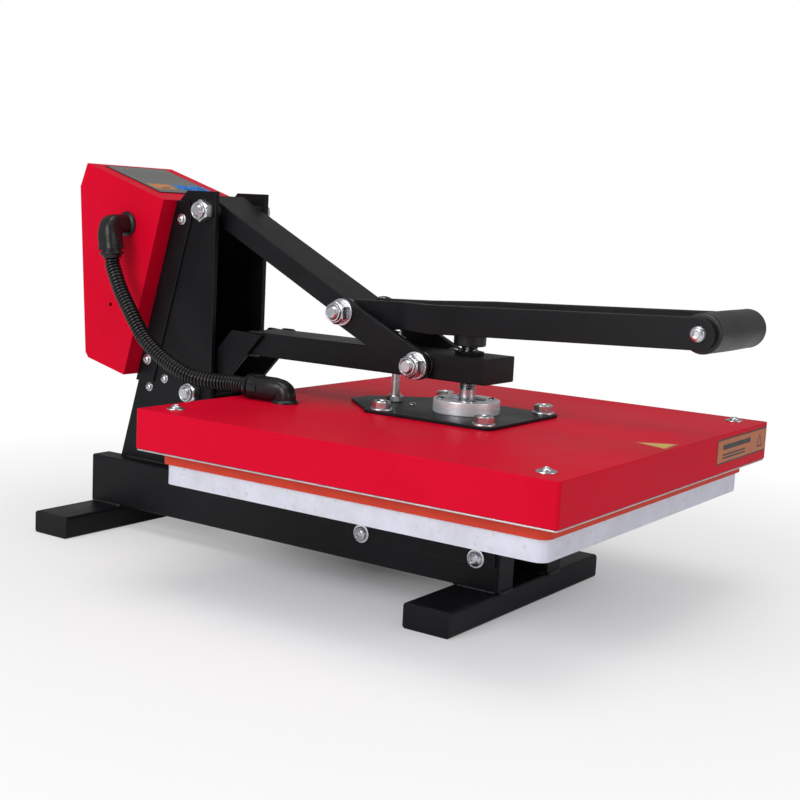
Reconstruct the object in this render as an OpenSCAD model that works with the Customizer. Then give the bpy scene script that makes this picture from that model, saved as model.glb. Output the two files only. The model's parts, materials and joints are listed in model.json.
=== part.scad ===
/* [Press plates] */
// Side of the square silicone pad, which is the printing area
pad_side = 380; // [376:1:382]
// Thickness of the silicone pad
pad_t = 9.5; // [8:0.5:9.5]
// Side of the cast lower plate
lower_side = 374; // [360:1:376]
// Thickness of the cast lower plate
lower_t = 17.5; // [16:0.5:17.5]
// Side of the heated upper plate
heat_side = 384; // [370:1:390]
// Side of the painted cover over the heated plate
cover_side = 410; // [406:1:414]
// Height of the painted cover
cover_h = 34.5; // [30:0.5:36]

/* [Base] */
// Length of each cross foot
foot_len = 260; // [240:1:300]
// Width of each cross foot, front to rear
foot_w = 46; // [40:1:50]
// Height of each cross foot
foot_h = 22; // [20:1:24]
// Length of the two base rails
rail_len = 498; // [490:1:520]
// Width of one base rail
rail_w = 24; // [20:1:25]

/* [Tower] */
// Thickness of the tower side plates
tower_t = 5; // [4:0.5:5]
// Height of the tower's top edge above the floor
tower_top = 348; // [342:1:352]

/* [Mechanism] */
// Width of the arm tube and of the upper link tube
tube_w = 50; // [48:1:50]
// Height of the arm tube
arm_h = 23; // [22:0.5:25]
// Height of the upper link tube
link_h = 20; // [18:0.5:22]
// Diameter of the pivot bolts
pivot_d = 12; // [10:1:12]
// Width of the toggle bars
toggle_w = 26; // [22:1:28]
// Diameter of the hand grip
grip_d = 32; // [28:1:36]

/* [Hidden] */

$fn = 48;
platen_y = -95;       // the plates' centre, ahead of the middle of the whole press
touch_gap = 0.4;      // air between faces that only press together in use
run_gap = 0.05;       // radial clearance of a pivot in its bush

// Heights of the stacked plates
lower_z = 95;
pad_z = lower_z + lower_t;
heat_z = pad_z + pad_t + touch_gap;
heat_t = 18;
lip_t = 1.6;          // lip of the heated plate that the cover stands on
cover_z = 125.5;
cover_top = cover_z + cover_h;
cover_wall = 1.5;
insulation_z = heat_z + heat_t;

// Base: y runs to the rear, the origin is under the centre of the plates
base_front = -76;
base_rear = base_front + rail_len;
rail_inner = 31;
rail_top = 71;
rail_h = rail_top - foot_h;
rail_mid = rail_inner + rail_w / 2;
wall = 2;
cap_t = 2.5;

// Tower outline
tower_half = 39;
tower_front = 273;
tower_back_top = 311;
tower_corner = [320.5, 338];
tower_lean = 0.2842;  // how far the rear edge runs back for each millimetre down
web_t = 4;

// Pivot points as [y, z]
tower_pivot = [286, 329];
mid_pivot = [118, 244];
arm_toggle = [34, 203.5];
arm_pivot = [296, 149];
pivot_r = pivot_d / 2;
bush_r = pivot_r + run_gap;
washer_r = 12.5;
washer_t = 2.5;
nut_r = 11;
nut_t = 9.5;
collar_r = 8.4;
collar_t = 2.8;
head_t = 7.5;

// Arm
arm_front = -32;
arm_rear = 240;
arm_mid = arm_toggle[1];
tube_wall = 2.5;
leg_t = 5;
leg_r = 15;

// Toggle bars and handle bars, as distances from the middle plane
toggle_in = 27.5;
toggle_t = 6.5;
toggle_out = toggle_in + toggle_t;
bar_t = 8;
bar_h = 25;
bar_near = 17;
bar_far = 48.5;
jog_rear = 57;
jog_front = 10;
bar_top_z = 260.2;    // height of the bars' top edge above the plates' centre
bar_tilt = 2.31;      // how far the bars rise towards the grip, in degrees
grip_y = -234.7;
link_end = 14;
link_angle = atan2(tower_pivot[1] - mid_pivot[1], tower_pivot[0] - mid_pivot[0]);
link_len = norm(tower_pivot - mid_pivot);

// Head
plate_t = 3;
head_z = cover_top + plate_t;
housing_r = 30;
housing_h = 12;
screw_r = 7.5;
screw_hole_r = screw_r + run_gap;
rod_y = 78;
rod_r = 4;
knob_z = 233;
knob_r = 25;          // clear of the toggle bars, which swing past on both sides
stud_pitch_x = 52;
stud_front = -50;
stud_rear = 56;
corner_screw = 181;

// Control box outline as [y, z], from the lower front corner round to the upper front one
box_half = 60;
box_wall = 1.5;
flange_w = 22;
flange_t = 2;
box_back_y = 441;
box_bottom_z = 160;
box_front_top = [tower_rear(338) + flange_t, 338];
box_rear_top = [431, 371];
box_outline = [
    [tower_rear(box_bottom_z) + flange_t, box_bottom_z], [426, 172.5], [430, 178],
    [box_back_y, 347], box_rear_top, box_front_top
];
panel_rise = atan2(box_rear_top[1] - box_front_top[1], box_rear_top[0] - box_front_top[0]);
panel_mid = box_front_top + (box_rear_top - box_front_top) * 0.57;

// Conduit: points of its middle line, from the box elbow to the cover elbow
conduit_r = 7.5;
conduit_sides = 12;
conduit_route = [
    [-84, 367.06, 279.32], [-84, 365.86, 271.41], [-84.3, 361.2, 262], [-85, 353.5, 248.5],
    [-86, 342.3, 234.1], [-87, 327.3, 215.8], [-87.7, 315.3, 203.3], [-88, 301.1, 193.4],
    [-88, 284.8, 184.5], [-88, 267.4, 177.6], [-86, 253.5, 173.2], [-83, 239.4, 171.3],
    [-79.3, 226.3, 170.9], [-76.8, 215, 171], [-76, 206, 171], [-76, 192, 171]
];

// ---- shared shapes ----

// A bar along x at the point [y, z], from x0 to x1
module x_bar(r, x0, x1, at = [0, 0], sides = 48) {
    translate([x0, at[0], at[1]])
        rotate([0, 90, 0])
            cylinder(r = r, h = x1 - x0, $fn = sides);
}

// A profile drawn as [y, z] and carried along x from x0 to x1
module x_prism(points, x0, x1) {
    translate([x0, 0, 0])
        rotate([90, 0, 90])
            linear_extrude(x1 - x0)
                polygon(points);
}

// Flat rectangle with round corners, centred
module round_rect(w, h, r) {
    square([w - 2 * r, h], center = true);
    square([w, h - 2 * r], center = true);
    for (x = [-1, 1], y = [-1, 1])
        translate([x * (w / 2 - r), y * (h / 2 - r)])
            circle(r);
}

// Rectangular tube section, centred
module tube_section(w, h, r, t) {
    difference() {
        round_rect(w, h, r);
        square([w - 2 * t, h - 2 * t], center = true);
    }
}

// Carries a flat shape along y from y0 to y1
module y_extrude(y0, y1) {
    translate([0, y0, 0])
        rotate([-90, 0, 0])
            linear_extrude(y1 - y0)
                children();
}

// Round plate with a hole, standing on z = 0
module ring(r, hole, h) {
    difference() {
        cylinder(r = r, h = h);
        translate([0, 0, -1])
            cylinder(r = hole, h = h + 2);
    }
}

// Moves shapes that stand on z = 0 to the point at, pointing away from the middle plane on one side
module outward(side, x, at) {
    translate([side * x, at[0], at[1]])
        rotate([0, side * 90, 0])
            children();
}

// Washer, hexagonal nut and locking collar that stand on z = 0
module lock_nut(hole) {
    difference() {
        cylinder(r = nut_r, h = nut_t, $fn = 6);
        translate([0, 0, -1])
            cylinder(r = hole, h = nut_t + 2);
    }
    translate([0, 0, nut_t])
        ring(collar_r, hole, collar_t);
}

// Button-head screw that stands on z = 0, with its washer and a socket
module button_screw(r, h, wr, wt) {
    cylinder(r = wr, h = wt);
    translate([0, 0, wt])
        difference() {
            cylinder(r = r, h = h);
            translate([0, 0, h / 2])
                cylinder(r = r * 0.45, h = h, $fn = 6);
        }
}

// A point moved inwards from two edges of a closed convex outline by d
function edge_normal(a, b) = [b[1] - a[1], a[0] - b[0]] / norm(b - a);
function inset_point(p, c, n, d) =
    let (u = edge_normal(p, c), v = edge_normal(c, n))
    c - (u + v) * d / (1 + u * v);
function inset(points, d) = [
    for (i = [0 : len(points) - 1])
        inset_point(points[(i + len(points) - 1) % len(points)], points[i], points[(i + 1) % len(points)], d)
];

// Rear edge of the tower at height z
function tower_rear(z) = tower_corner[0] + (tower_corner[1] - z) * tower_lean;

// ---- base ----

module foot(y0) {
    translate([0, y0 + foot_w / 2, foot_h / 2])
        rotate([90, 0, 90])
            translate([0, 0, -foot_len / 2 + cap_t])
                linear_extrude(foot_len - 2 * cap_t)
                    tube_section(foot_w, foot_h, 3, wall);
}

module front_foot() {
    color("#23262a") foot(base_front);
}

module rear_foot() {
    color("#23262a") foot(base_rear - foot_w);
}

module rail(side) {
    translate([side * rail_mid, 0, foot_h + rail_h / 2])
        y_extrude(base_front + cap_t, base_rear - cap_t)
            tube_section(rail_w, rail_h, 2, wall);
}

module left_rail() {
    color("#2b2e32") rail(-1);
}

module right_rail() {
    color("#2b2e32") rail(1);
}

module tube_end_caps() {
    color("#2b2e32") {
        for (side = [-1, 1], y = [base_front, base_rear - foot_w])
            translate([side * (foot_len / 2 - cap_t / 2), y + foot_w / 2, foot_h / 2])
                rotate([90, 0, 90])
                    translate([0, 0, -cap_t / 2])
                        linear_extrude(cap_t)
                            round_rect(foot_w, foot_h, 3);
        for (side = [-1, 1], y = [base_front, base_rear - cap_t])
            translate([side * rail_mid, 0, foot_h + rail_h / 2])
                y_extrude(y, y + cap_t)
                    round_rect(rail_w, rail_h, 2);
    }
}

module tower_plate(side) {
    x0 = side > 0 ? tower_half - tower_t : -tower_half;
    difference() {
        x_prism([
            [tower_front, rail_top], [tower_rear(rail_top), rail_top], tower_corner,
            [tower_back_top, tower_top], [tower_front, tower_top]
        ], x0, x0 + tower_t);
        for (at = [tower_pivot, arm_pivot])
            x_bar(bush_r, x0 - 1, x0 + tower_t + 1, at);
    }
}

module tower_left_plate() {
    color("#303338") tower_plate(-1);
}

module tower_right_plate() {
    color("#303338") tower_plate(1);
}

module tower_web() {
    inner = tower_half - tower_t;
    color("#25282c")
        x_prism([
            [tower_rear(rail_top) - web_t, rail_top], [tower_rear(rail_top), rail_top],
            tower_corner, [tower_corner[0] - web_t, tower_corner[1]]
        ], -inner, inner);
}

module tower_pivot_bolts() {
    left_end = tower_half + nut_t + collar_t + 2;
    color("#d5d8dc")
        for (at = [tower_pivot, arm_pivot]) {
            x_bar(pivot_r, -left_end, tower_half, at);
            outward(1, tower_half, at)
                cylinder(r = nut_r, h = head_t, $fn = 6);
        }
}

module tower_pivot_nuts() {
    color("#c8ccd1")
        for (at = [tower_pivot, arm_pivot])
            outward(-1, tower_half, at)
                lock_nut(pivot_r);
}

// ---- lower plate ----

support_out = rail_inner + rail_w + 3;
support_front = base_front + 4;
support_rear = 84;
support_bottom = 44;
support_bolt_y = [-54, 67];
support_bolt_z = 49.5;
support_top_t = 4;

module platen_support() {
    color("#303338") {
        for (side = [-1, 1])
            difference() {
                translate([side > 0 ? support_out - 3 : -support_out, support_front, support_bottom])
                    cube([3, support_rear - support_front, lower_z - support_bottom]);
                for (y = support_bolt_y)
                    x_bar(4, side * support_out - 5, side * support_out + 5, [y, support_bolt_z]);
            }
        translate([3 - support_out, support_front, lower_z - support_top_t])
            cube([2 * support_out - 6, support_rear - support_front, support_top_t]);
    }
}

module support_bolts() {
    color("#d5d8dc")
        for (side = [-1, 1], y = support_bolt_y) {
            outward(side, support_out, [y, support_bolt_z])
                button_screw(6.5, 4.5, 8.5, 1.6);
            outward(side, support_out - 3, [y, support_bolt_z])
                cylinder(r = 4, h = 3);
        }
}

module lower_platen() {
    rim = 14;
    skin = 8;
    rib = 8;
    color("#c9ccd0")
        translate([0, 0, lower_z]) {
            translate([0, 0, lower_t - skin])
                linear_extrude(skin)
                    round_rect(lower_side, lower_side, 9);
            linear_extrude(lower_t - skin)
                difference() {
                    round_rect(lower_side, lower_side, 9);
                    round_rect(lower_side - 2 * rim, lower_side - 2 * rim, 5);
                }
            for (y = [-90, 90])
                translate([-lower_side / 2 + rim, y - rib / 2, 0])
                    cube([lower_side - 2 * rim, rib, lower_t - skin]);
            for (x = [-52, 52])
                translate([x - rib / 2, -lower_side / 2 + rim, 0])
                    cube([rib, lower_side - 2 * rim, lower_t - skin]);
        }
}

module silicone_pad() {
    color("#e2661e")
        translate([0, 0, pad_z])
            linear_extrude(pad_t)
                round_rect(pad_side, pad_side, 10);
}

// ---- control box ----

module control_bracket() {
    top = tower_corner[1];
    bottom = 153.5;
    outer = tower_half + flange_t;
    color("#2a2d31") {
        for (x = [-outer, tower_half])
            x_prism([
                [tower_rear(bottom) - flange_w, bottom], [tower_rear(bottom), bottom],
                [tower_rear(top), top], [tower_rear(top) - flange_w + 8, top],
                [tower_rear(top - 16) - flange_w, top - 16]
            ], x, x + flange_t);
        x_prism([
            [tower_rear(bottom), bottom], [tower_rear(bottom) + flange_t, bottom],
            [tower_rear(top) + flange_t, top], [tower_rear(top), top]
        ], -outer, outer);
    }
}

bracket_screw_at = [[315.5, 319.5], [359, 176]];
tower_screw_at = [[357, 148], [336, 158.5]];

module bracket_screws() {
    color("#d5d8dc")
        for (side = [-1, 1]) {
            for (at = bracket_screw_at)
                outward(side, tower_half + flange_t, at)
                    button_screw(4, 2.6, 5.5, 1);
            outward(side, tower_half, tower_screw_at[0])
                button_screw(3.6, 2.4, 4.6, 0.8);
            outward(side, tower_half, tower_screw_at[1])
                button_screw(3.6, 2.4, 4.6, 0.8);
        }
}

module control_box() {
    color("#d8122e")
        difference() {
            x_prism(box_outline, -box_half + box_wall, box_half - box_wall);
            x_prism(inset(box_outline, box_wall), -box_half, box_half);
        }
}

module control_box_sides() {
    color("#d8122e")
        for (x = [-box_half, box_half - box_wall])
            difference() {
                x_prism(box_outline, x, x + box_wall);
                if (x < 0) {
                    x_bar(6, x - 1, x + box_wall + 1, [372, 312]);
                    x_bar(2, x - 1, x + box_wall + 1, [394, 230], 24);
                }
            }
}

// Frame on the sloping top of the box: x across, y up the slope, z out of the panel
module on_panel(z) {
    translate([0, panel_mid[0], panel_mid[1]])
        rotate([panel_rise, 0, 0])
            translate([0, 0, z])
                children();
}

panel_w = 86;
panel_l = 84;
panel_t = 0.8;
key_w = 13;
key_l = 10;
key_row = -23;
key_x = [-22, 10, 30];
key_travel = 0.5;
key_t = 1.2;

module control_panel() {
    color("#8f9494")
        on_panel(0.05)
            difference() {
                linear_extrude(panel_t)
                    round_rect(panel_w, panel_l, 2);
                for (x = key_x)
                    translate([x - key_w / 2 - 0.5, key_row - key_l / 2 - 0.5, -1])
                        cube([key_w + 1, key_l + 1, 3]);
                translate([-31, 3, panel_t - 0.3])
                    cube([62, 26, 2]);
            }
}

module display_window() {
    color("#3a2024")
        on_panel(panel_t - 0.25)
            translate([-31, 3, 0])
                cube([62, 26, 0.25]);
}

module key(i) {
    on_panel(key_travel + 0.1)
        translate([key_x[i], key_row, 0])
            linear_extrude(key_t)
                round_rect(key_w, key_l, 1.5);
}

module mode_key() {
    color("#e08a4a") key(0);
}

module down_key() {
    color("#1f8fd0") key(1);
}

module up_key() {
    color("#1f8fd0") key(2);
}

inlet_z = 196;
switch_z = 232;

module power_inlet() {
    color("#17181a")
        translate([box_half, 400, inlet_z])
            rotate([90, 0, 90])
                difference() {
                    linear_extrude(3)
                        round_rect(48, 28, 2);
                    translate([0, 0, 1.2])
                        linear_extrude(4)
                            round_rect(24, 16, 2);
                    for (x = [-20, 20])
                        translate([x, 0, -1])
                            cylinder(r = 1.8, h = 6);
                }
}

switch_bezel_t = 3.2;
switch_axis_x = box_half + 1.8;
switch_tilt = 8;

module switch_bezel() {
    color("#17181a")
        translate([box_half, 400, switch_z])
            rotate([90, 0, 90])
                linear_extrude(switch_bezel_t)
                    difference() {
                        round_rect(18, 27, 1.5);
                        square([12.6, 20.4], center = true);
                    }
}

module power_switch() {
    color("#b3121c")
        translate([switch_axis_x, 394.3, switch_z])
            rotate([0, -switch_tilt, 0]) {
                translate([0, 0, -9])
                    cube([3.8, 11.4, 18]);
                rotate([-90, 0, 0])
                    cylinder(r = 1.4, h = 11.4);
            }
}

module circuit_board() {
    color("#1f6b3a")
        on_panel(-16) {
            translate([-46, -34, 0])
                cube([92, 62, 1.6]);
            for (x = [-40, 34], y = [-30, 22])
                translate([x, y, 1.6])
                    cylinder(r = 3, h = 8);
        }
}

module solid_state_relay() {
    color("#20242a")
        translate([8, 388, 236]) {
            cube([44, 24, 58]);
            translate([-4, -6, -4])
                cube([52, 6, 66]);
        }
}

elbow_r = 10;
box_elbow_at = [372, 312];

module box_elbow() {
    color("#191a1c") {
        outward(-1, box_half, box_elbow_at)
            cylinder(r = 12, h = 4);
        x_bar(elbow_r, -84, -box_half - 4, box_elbow_at);
        translate([-84, box_elbow_at[0], box_elbow_at[1]])
            sphere(elbow_r);
        translate([-84, box_elbow_at[0], box_elbow_at[1]])
            rotate([-8.6, 0, 0]) {
                translate([0, 0, -27])
                    cylinder(r = elbow_r, h = 27);
                translate([0, 0, -33])
                    cylinder(r = 10.5, h = 6);
            }
    }
}

// Ring of points round the middle line at point i, square to its neighbours
function route_dir(i) =
    let (a = conduit_route[max(i - 1, 0)], b = conduit_route[min(i + 1, len(conduit_route) - 1)])
    (b - a) / norm(b - a);
function route_ring(i) =
    let (t = route_dir(i), s = cross(t, [1, 0, 0]), u = s / norm(s), v = cross(t, u))
    [for (k = [0 : conduit_sides - 1])
        conduit_route[i] + conduit_r * (cos(360 * k / conduit_sides) * u + sin(360 * k / conduit_sides) * v)];

module conduit() {
    n = len(conduit_route);
    m = conduit_sides;
    color("#1d1e20")
        polyhedron(
            points = [for (i = [0 : n - 1]) each route_ring(i)],
            faces = concat(
                [[for (k = [0 : m - 1]) k]],
                [[for (k = [m - 1 : -1 : 0]) (n - 1) * m + k]],
                [for (i = [0 : n - 2], k = [0 : m - 1])
                    [i * m + k, (i + 1) * m + k, (i + 1) * m + (k + 1) % m, i * m + (k + 1) % m]]
            ));
}

// ---- arm ----

module arm_tube() {
    color("#2d3035")
        difference() {
            union() {
                translate([0, 0, arm_mid])
                    y_extrude(arm_front + cap_t, arm_rear)
                        tube_section(tube_w, arm_h, 1.5, tube_wall);
                translate([0, 0, arm_mid])
                    y_extrude(arm_front, arm_front + cap_t)
                        round_rect(tube_w, arm_h, 1.5);
            }
            x_bar(pivot_r + 2.5, -tube_w, tube_w, arm_toggle);
            translate([0, 0, arm_mid - arm_h])
                cylinder(r = 11, h = 2 * arm_h);
            translate([0, rod_y, arm_mid - arm_h])
                cylinder(r = rod_r + 0.5, h = 2 * arm_h);
        }
}

module arm_legs() {
    dir = [-60, 65] / norm([-60, 65]);
    side = [dir[1], -dir[0]];
    in = tube_w / 2;
    color("#303338")
        for (x = [-in - leg_t, in])
            difference() {
                union() {
                    x_prism([
                        [217, 213], [256, arm_mid + arm_h / 2],
                        arm_pivot + side * leg_r, arm_pivot - side * leg_r
                    ], x, x + leg_t);
                    x_bar(leg_r, x, x + leg_t, arm_pivot);
                }
                x_bar(pivot_r + 4, x - 1, x + leg_t + 1, arm_pivot);
            }
}

module arm_pivot_bush() {
    half = tower_half - tower_t - touch_gap;
    color("#9aa0a6")
        difference() {
            x_bar(pivot_r + 4, -half, half, arm_pivot);
            x_bar(bush_r, -half - 1, half + 1, arm_pivot);
        }
}

module arm_toggle_bush() {
    half = tube_w / 2;
    color("#9aa0a6")
        difference() {
            x_bar(pivot_r + 2.5, -half, half, arm_toggle);
            x_bar(bush_r, -half - 1, half + 1, arm_toggle);
        }
}

module pressure_nut() {
    top = arm_mid + arm_h / 2;
    bottom = arm_mid - arm_h / 2;
    color("#9aa0a6")
        translate([0, 0, bottom])
            difference() {
                union() {
                    cylinder(r = 11, h = arm_h);
                    translate([0, 0, arm_h])
                        cylinder(r = 13, h = 3, $fn = 6);
                }
                translate([0, 0, -1])
                    cylinder(r = screw_hole_r, h = top - bottom + 6);
            }
}

// ---- head ----

module cover() {
    inner = cover_side - 2 * cover_wall;
    color("#d8122e")
        translate([0, 0, cover_z])
            difference() {
                linear_extrude(cover_h)
                    round_rect(cover_side, cover_side, 3);
                translate([0, 0, -cover_wall])
                    linear_extrude(cover_h)
                        round_rect(inner, inner, 1.5);
            }
}

module heating_platen() {
    groove = 4.4;
    color("#b9bdc2")
        difference() {
            union() {
                translate([0, 0, heat_z])
                    linear_extrude(heat_t)
                        round_rect(heat_side, heat_side, 8);
                translate([0, 0, cover_z - lip_t - 0.1])
                    linear_extrude(lip_t)
                        round_rect(cover_side - 1, cover_side - 1, 3);
            }
            element_path(groove, heat_t);
            translate([sensor_at[0], sensor_at[1], heat_z + 8])
                cylinder(r = 12, h = heat_t);
        }
}

element_z = heat_z + 11;
element_rows = 8;
element_pitch = 44;
element_half = 150;
sensor_at = [40, 132];

// Straight runs joined by half circles, swept with a round section, and open above by rise
module element_path(r, rise) {
    for (i = [0 : element_rows - 1]) {
        y = (i - (element_rows - 1) / 2) * element_pitch;
        translate([0, y, element_z]) {
            x_bar(r, -element_half, element_half, sides = 24);
            if (rise > 0)
                translate([-element_half, -r, 0])
                    cube([2 * element_half, 2 * r, rise]);
        }
        if (i < element_rows - 1) {
            side = i % 2 == 0 ? 1 : -1;
            translate([side * element_half, y + element_pitch / 2, element_z])
                rotate([0, 0, -side * 90])
                    half_turn(r, rise);
        }
    }
}

// Half circle of the element's pitch, on the +y side
module half_turn(r, rise) {
    rotate_extrude(angle = 180)
        translate([element_pitch / 2, 0]) {
            circle(r, $fn = 24);
            if (rise > 0)
                translate([-r, 0])
                    square([2 * r, rise]);
        }
}

module heating_element() {
    color("#8a8f94") element_path(4, 0);
}

module thermostat() {
    color("#d9d2c0")
        translate([sensor_at[0], sensor_at[1], heat_z + 8.2])
            cylinder(r = 11, h = 14);
}

module insulation() {
    color("#e6e0c8")
        difference() {
            translate([0, 0, insulation_z + touch_gap / 4])
                linear_extrude(cover_top - cover_wall - insulation_z - touch_gap / 2)
                    round_rect(heat_side, heat_side, 8);
            translate([sensor_at[0], sensor_at[1], insulation_z - 1])
                cylinder(r = 12, h = 8);
        }
}

module mounting_plate() {
    color("#33302f")
        translate([0, 0, cover_top])
            linear_extrude(plate_t) {
                translate([0, 5])
                    round_rect(124, 134, 8);
                polygon([[-62, 64], [62, 64], [14, 118], [-14, 118]]);
                translate([0, 108])
                    round_rect(36, 20, 9);
            }
}

module mounting_bolts() {
    color("#d5d8dc")
        for (x = [-1, 1], y = [stud_front, stud_rear])
            translate([x * stud_pitch_x, y, head_z]) {
                cylinder(r = 10, h = 1.8);
                translate([0, 0, 1.8])
                    cylinder(r = 8.6, h = 6.5, $fn = 6);
            }
}

screw_foot_r = 12;
screw_foot_h = 6;
thrust_clear = 0.3;

module thrust_housing() {
    color("#c4c7ca")
        translate([0, 0, head_z])
            difference() {
                cylinder(r = housing_r, h = housing_h, $fn = 96);
                translate([0, 0, 3])
                    cylinder(r = screw_foot_r + thrust_clear, h = screw_foot_h + thrust_clear);
                translate([0, 0, 3])
                    cylinder(r = screw_hole_r + 0.5, h = housing_h);
                translate([0, 0, housing_h - 2.5])
                    cylinder(r = 18, h = 4);
            }
}

module thrust_screws() {
    color("#9ea3a8")
        for (a = [45 : 90 : 315])
            rotate([0, 0, a])
                translate([23.5, 0, head_z + housing_h])
                    difference() {
                        cylinder(r = 3.6, h = 3);
                        translate([0, 0, 1.4])
                            cylinder(r = 1.7, h = 3, $fn = 6);
                    }
}

module stabiliser_rod() {
    color("#d5d8dc")
        translate([0, rod_y, head_z])
            cylinder(r = rod_r, h = 67);
}

module stabiliser_nuts() {
    top = arm_mid + arm_h / 2;
    color("#d2c39c")
        for (z = [head_z, top + 2.2])
            translate([0, rod_y, z]) {
                difference() {
                    cylinder(r = 8, h = 8, $fn = 6);
                    translate([0, 0, -1])
                        cylinder(r = rod_r, h = 10);
                }
                if (z > head_z)
                    translate([0, 0, -1.8])
                        ring(10, rod_r, 1.8);
            }
}

module cover_screws() {
    color("#c8ccd1")
        for (x = [-1, 1], y = [-1, 1])
            translate([x * corner_screw, y * corner_screw, cover_top])
                button_screw(4.2, 2.6, 8, 1.2);
}

cover_elbow_at = [-76, 147];
cover_elbow_z = 171;

module cover_elbow() {
    color("#191a1c")
        translate([cover_elbow_at[0], cover_elbow_at[1], 0]) {
            translate([0, 0, cover_top])
                cylinder(r = 12, h = 3);
            translate([0, 0, cover_top])
                cylinder(r = elbow_r, h = cover_elbow_z - cover_top);
            translate([0, 0, cover_elbow_z])
                sphere(elbow_r);
            translate([0, 0, cover_elbow_z])
                rotate([-90, 0, 0]) {
                    cylinder(r = elbow_r, h = 38);
                    translate([0, 0, 38])
                        cylinder(r = 10.5, h = 7);
                }
        }
}

// ---- pressure screw ----

module pressure_screw() {
    foot_z = head_z + 3;
    color("#c9ccd1") {
        translate([0, 0, foot_z])
            cylinder(r = screw_r, h = knob_z + 14 - foot_z);
        translate([0, 0, foot_z + 0.1])
            cylinder(r = screw_foot_r, h = screw_foot_h - 0.2);
    }
}

module pressure_knob() {
    lobes = 8;
    color("#1a1b1d")
        difference() {
            union() {
                translate([0, 0, 222])
                    cylinder(r = 14.5, h = knob_z - 222);
                translate([0, 0, knob_z])
                    cylinder(r = knob_r, h = 15, $fn = 96);
            }
            for (i = [0 : lobes - 1])
                rotate([0, 0, i * 360 / lobes])
                    translate([knob_r + 4, 0, knob_z - 1])
                        cylinder(r = 7, h = 17);
            translate([0, 0, 221])
                cylinder(r = screw_r, h = knob_z + 14 - 221);
        }
}

// ---- handle ----

// Carries shapes drawn level, with y = 0 at the middle pivot, onto the sloping line of the upper link
module link_frame() {
    translate([0, mid_pivot[0], mid_pivot[1]])
        rotate([link_angle, 0, 0])
            children();
}

module upper_link() {
    color("#34373b")
        difference() {
            link_frame()
                y_extrude(-link_end, link_len + link_end)
                    tube_section(tube_w, link_h, 1.5, tube_wall);
            for (at = [tower_pivot, mid_pivot])
                x_bar(pivot_r + 1.5, -tube_w, tube_w, at);
        }
}

module link_bushes() {
    rear_half = tower_half - tower_t - touch_gap;
    front_half = tube_w / 2;
    color("#9aa0a6") {
        difference() {
            x_bar(pivot_r + 1.5, -rear_half, rear_half, tower_pivot);
            x_bar(bush_r, -rear_half - 1, rear_half + 1, tower_pivot);
        }
        difference() {
            x_bar(pivot_r + 1.5, -front_half, front_half, mid_pivot);
            x_bar(bush_r, -front_half - 1, front_half + 1, mid_pivot);
        }
    }
}

// Handle bars are drawn level from their top edge over the plates' centre, then tilted
module handle_frame() {
    translate([0, 0, bar_top_z])
        rotate([-bar_tilt, 0, 0])
            children();
}

module handle_bar(side) {
    end_r = bar_h / 2;
    rear_x = side > 0 ? bar_near : -bar_near - bar_t;
    front_x = side > 0 ? bar_far : -bar_far - bar_t;
    difference() {
        handle_frame() {
            translate([rear_x, jog_rear, -bar_h])
                cube([bar_t, 66, bar_h]);
            translate([0, 0, -bar_h])
                linear_extrude(bar_h)
                    polygon([
                        [side * bar_near, jog_rear], [side * (bar_near + bar_t), jog_rear],
                        [side * (bar_far + bar_t), jog_front], [side * bar_far, jog_front]
                    ]);
            translate([front_x, grip_y, -bar_h])
                cube([bar_t, jog_front - grip_y, bar_h]);
            x_bar(end_r, front_x, front_x + bar_t, [grip_y, -end_r]);
        }
        link_frame()
            translate([-tube_w, -link_end, link_h / 2 - 100])
                cube([2 * tube_w, link_len, 100]);
        handle_frame()
            x_bar(4, -tube_w * 2, tube_w * 2, [grip_y, -end_r]);
    }
}

module handle_left_bar() {
    color("#2f3237") handle_bar(-1);
}

module handle_right_bar() {
    color("#2f3237") handle_bar(1);
}

module handle_grip() {
    color("#1e1f21")
        handle_frame()
            difference() {
                x_bar(grip_d / 2, -bar_far, bar_far, [grip_y, -bar_h / 2]);
                x_bar(4, -bar_far - 1, bar_far + 1, [grip_y, -bar_h / 2]);
            }
}

module grip_screws() {
    outer = bar_far + bar_t;
    color("#d5d8dc")
        handle_frame()
            for (side = [-1, 1]) {
                outward(side, outer, [grip_y, -bar_h / 2])
                    button_screw(6, 3.5, 6.2, 0.6);
                outward(side, outer - 20, [grip_y, -bar_h / 2])
                    cylinder(r = 4, h = 20);
            }
}

// ---- toggle ----

module toggle_bars() {
    dir = (mid_pivot - arm_toggle) / norm(mid_pivot - arm_toggle);
    side = [dir[1], -dir[0]] * toggle_w / 2;
    color("#33363a")
        for (x = [-toggle_out, toggle_in])
            difference() {
                union() {
                    x_prism([
                        mid_pivot + side, mid_pivot - side, arm_toggle - side, arm_toggle + side
                    ], x, x + toggle_t);
                    for (at = [mid_pivot, arm_toggle])
                        x_bar(toggle_w / 2, x, x + toggle_t, at);
                }
                for (at = [mid_pivot, arm_toggle])
                    x_bar(pivot_r, x - 1, x + toggle_t + 1, at);
            }
}

module toggle_pivot_bolts() {
    end = toggle_out + washer_t + nut_t + collar_t + 2;
    stud_in = tube_w / 2 + touch_gap;
    color("#d5d8dc") {
        x_bar(pivot_r, -end, toggle_out + washer_t, arm_toggle);
        x_bar(pivot_r, -end, -stud_in, mid_pivot);
        x_bar(pivot_r, stud_in, toggle_out + washer_t, mid_pivot);
        for (at = [mid_pivot, arm_toggle])
            outward(1, toggle_out + washer_t, at)
                cylinder(r = nut_r, h = head_t, $fn = 6);
    }
}

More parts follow.
